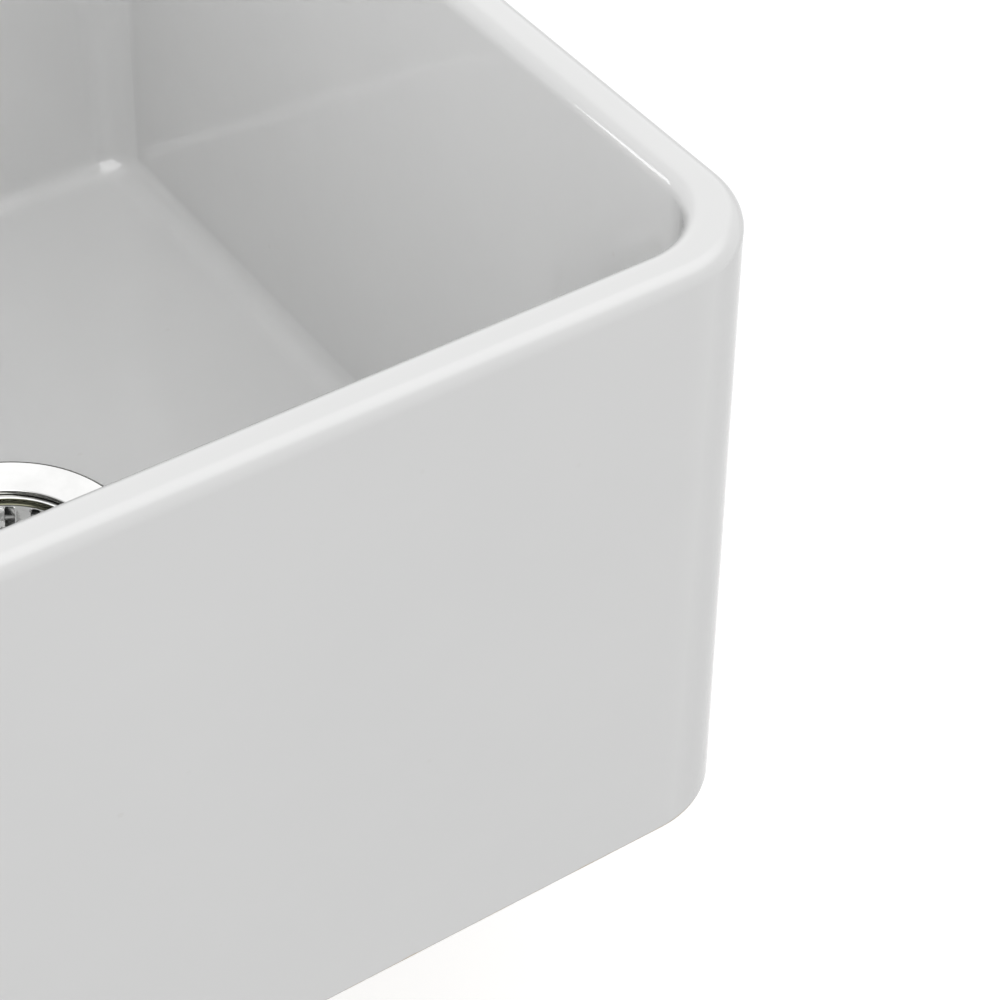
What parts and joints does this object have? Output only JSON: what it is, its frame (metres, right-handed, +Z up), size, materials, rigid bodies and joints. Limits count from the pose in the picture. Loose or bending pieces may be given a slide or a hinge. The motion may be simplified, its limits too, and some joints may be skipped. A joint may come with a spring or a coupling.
{
  "type": "farmhouse apron front sink",
  "caption": "Deep single-bowl apron front sink in glazed fireclay with rounded corners, a lift-out slotted basket strainer and a straight waste tailpiece.",
  "frame": {"origin": "on the drain's axis, in the plane of the underside that the sink rests on", "axes": "+X to the right of someone facing the apron, +Y from the apron to the back, +Z up out of the bowl"},
  "size_m": [0.381, 0.4572, 0.3976],
  "materials": {
    "fireclay": "white gloss glaze",
    "polished_steel": "polished stainless steel",
    "brushed_steel": "turned stainless steel",
    "spring_steel": "drawn wire",
    "foam_gasket": "matt closed-cell foam",
    "black_rubber": "matt moulded rubber",
    "fibre_washer": "pressed fibre",
    "cast_zinc": "die-cast zinc",
    "white_plastic": "moulded plastic",
    "brass": "machined brass"
  },
  "bodies": {
    "sink": {"sink_bowl": "fireclay", "strainer_body": "polished_steel", "flange_gasket": "foam_gasket", "rubber_washer": "black_rubber", "friction_washer": "fibre_washer", "lock_nut": "cast_zinc", "tailpiece_washer": "white_plastic", "tailpiece": "brushed_steel", "coupling_nut": "brass"},
    "basket": {"basket_cup": "polished_steel", "post_bushing": "brushed_steel", "bushing_nut": "brushed_steel", "detent_ring": "spring_steel"},
    "stopper": {"stopper_post": "brushed_steel", "post_knob": "polished_steel", "stopper_plate": "brushed_steel", "stopper_seal": "black_rubber", "stopper_nut": "brass"}
  },
  "joints": [
    {"name": "basket_lift", "type": "slide", "parent": "sink", "child": "basket", "axis": [0, 0, 1], "range_m": [0, 0.28]},
    {"name": "stopper_lift", "type": "slide", "parent": "basket", "child": "stopper", "axis": [0, 0, 1], "range_m": [0, 0.008]}
  ]
}
